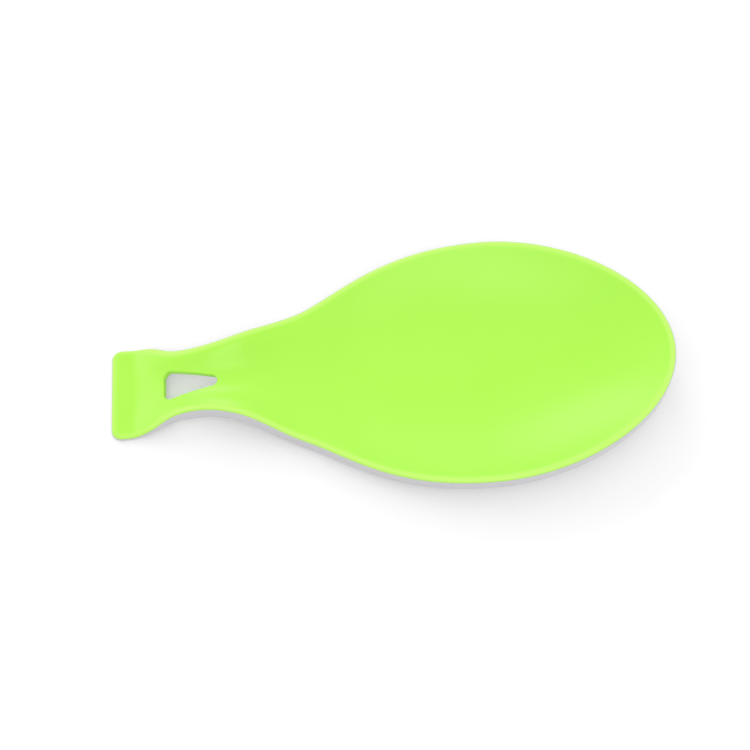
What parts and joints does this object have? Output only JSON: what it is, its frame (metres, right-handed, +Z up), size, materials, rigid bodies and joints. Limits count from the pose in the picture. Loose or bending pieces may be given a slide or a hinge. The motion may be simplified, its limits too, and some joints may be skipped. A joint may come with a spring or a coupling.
{
  "type": "spoon rest",
  "caption": "Teardrop two-tone spoon rest: a shallow bowl runs into an arched neck with a hang hole and a flat flared toe.",
  "frame": {"origin": "on the table under the middle of the dish", "axes": "+X along the dish from the toe to the bowl, +Z up; the dish is symmetric left to right about the XZ plane"},
  "size_m": [0.24, 0.1126, 0.02],
  "materials": {
    "green_inner_layer": "semi-gloss lime green moulded melamine",
    "white_outer_shell": "semi-gloss white moulded melamine"
  },
  "bodies": {
    "root": {"green_inner_layer": "green_inner_layer", "white_outer_shell": "white_outer_shell"}
  },
  "joints": []
}
